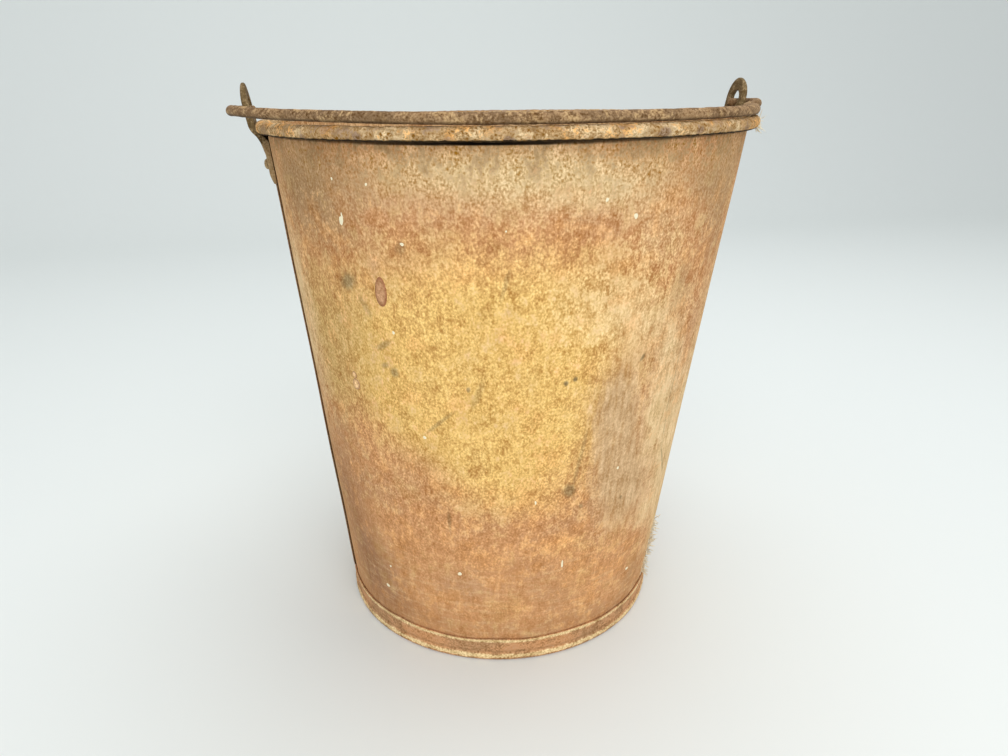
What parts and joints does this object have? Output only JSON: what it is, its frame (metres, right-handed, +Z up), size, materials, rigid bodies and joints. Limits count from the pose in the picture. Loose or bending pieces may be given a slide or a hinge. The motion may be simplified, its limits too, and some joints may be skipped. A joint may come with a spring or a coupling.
{
  "type": "bucket",
  "caption": "Rusty tapered sheet-metal bucket with a wired rim, beaded foot hoop, riveted ears and a swinging rod bail, for carrying water or loose material.",
  "frame": {"origin": "on the floor under the middle of the rim", "axes": "+Z up; +X through the right ear; the bail rests on the -Y side of the rim"},
  "size_m": [0.3296, 0.303, 0.3509],
  "materials": {
    "body_rust": "rusted, matte",
    "hoop_rust": "rusted, matte",
    "wire_rust": "rusted, rough",
    "ear_rust": "rusted, dull",
    "bail_rust": "rusted, dull"
  },
  "bodies": {
    "bucket": {"body_sheet": "body_rust", "rim_wire": "wire_rust", "bottom_disc": "body_rust", "foot_hoop": "hoop_rust", "left_ear": "ear_rust", "right_ear": "ear_rust", "left_ear_rivet_front": "ear_rust", "left_ear_rivet_rear": "ear_rust", "right_ear_rivet_front": "ear_rust", "right_ear_rivet_rear": "ear_rust"},
    "bail": {"bail": "bail_rust"}
  },
  "joints": [
    {"name": "bail_swing", "type": "hinge", "parent": "bucket", "child": "bail", "pos_m": [0.0001, 0, 0.33365], "axis": [-0.9999, 0, -0.0117], "range_deg": [0, 181.7]}
  ]
}
